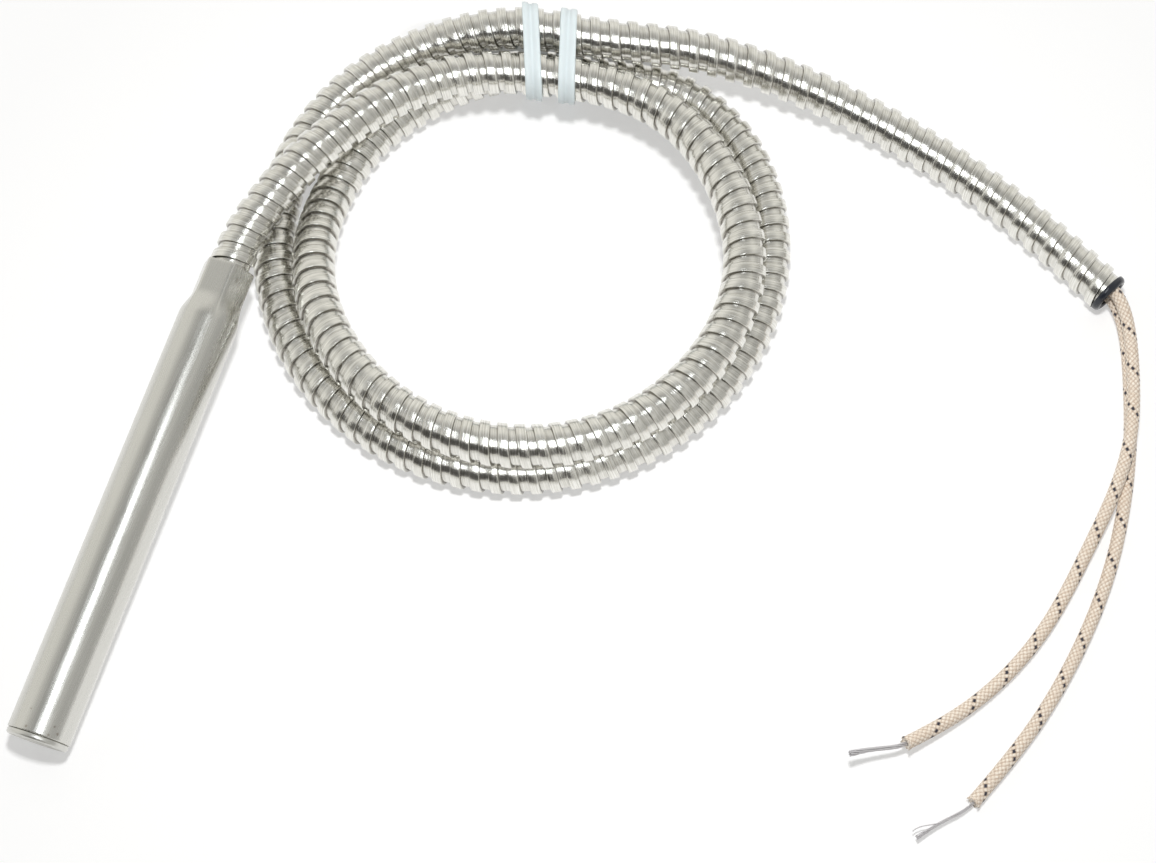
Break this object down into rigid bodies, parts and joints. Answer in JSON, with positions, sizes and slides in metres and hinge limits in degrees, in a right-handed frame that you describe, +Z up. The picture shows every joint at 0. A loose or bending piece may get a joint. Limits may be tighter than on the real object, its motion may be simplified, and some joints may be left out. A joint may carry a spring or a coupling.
{
  "type": "cartridge heater",
  "caption": "Round stainless cartridge heater with a crimped lead end, its leads in a flexible strip-wound conduit tied in a loose coil, with bare wire ends.",
  "frame": {"origin": "middle of the sheath's length, on the surface that the heater lies on", "axes": "+Y along the sheath, seen from above, from its closed end to its lead end, which the conduit holds up by 3 degrees; +Z up, +X towards the coil"},
  "size_m": [0.2513, 0.2396, 0.0247],
  "materials": {
    "sheath_steel": "satin ground stainless",
    "disc_steel": "welded stainless",
    "conduit_steel": "bright rolled stainless strip",
    "bushing_plastic": "glossy black",
    "strap_nylon": "translucent white nylon",
    "glass_braid": "varnished glass braid with a dark tracer",
    "wire_metal": "plated stranded wire",
    "pin_metal": "drawn nickel",
    "element_metal": "oxidised resistance wire",
    "magnesia": "pressed magnesia ceramic",
    "sleeving": "glass sleeving"
  },
  "bodies": {
    "root": {"sheath": "sheath_steel", "end_disc": "disc_steel", "tip_spacer": "magnesia", "core": "magnesia", "heating_coil": "element_metal", "fill": "magnesia", "pin_a": "pin_metal", "pin_b": "pin_metal", "lead_end_cap": "magnesia", "splice_a": "pin_metal", "splice_b": "pin_metal", "splice_sleeve_a": "sleeving", "splice_sleeve_b": "sleeving", "conduit": "conduit_steel", "bushing": "bushing_plastic", "tie_left": "strap_nylon", "tie_right": "strap_nylon", "lead_jacket_a": "glass_braid", "lead_jacket_b": "glass_braid", "lead_wire_a": "wire_metal", "lead_wire_b": "wire_metal"}
  },
  "joints": []
}
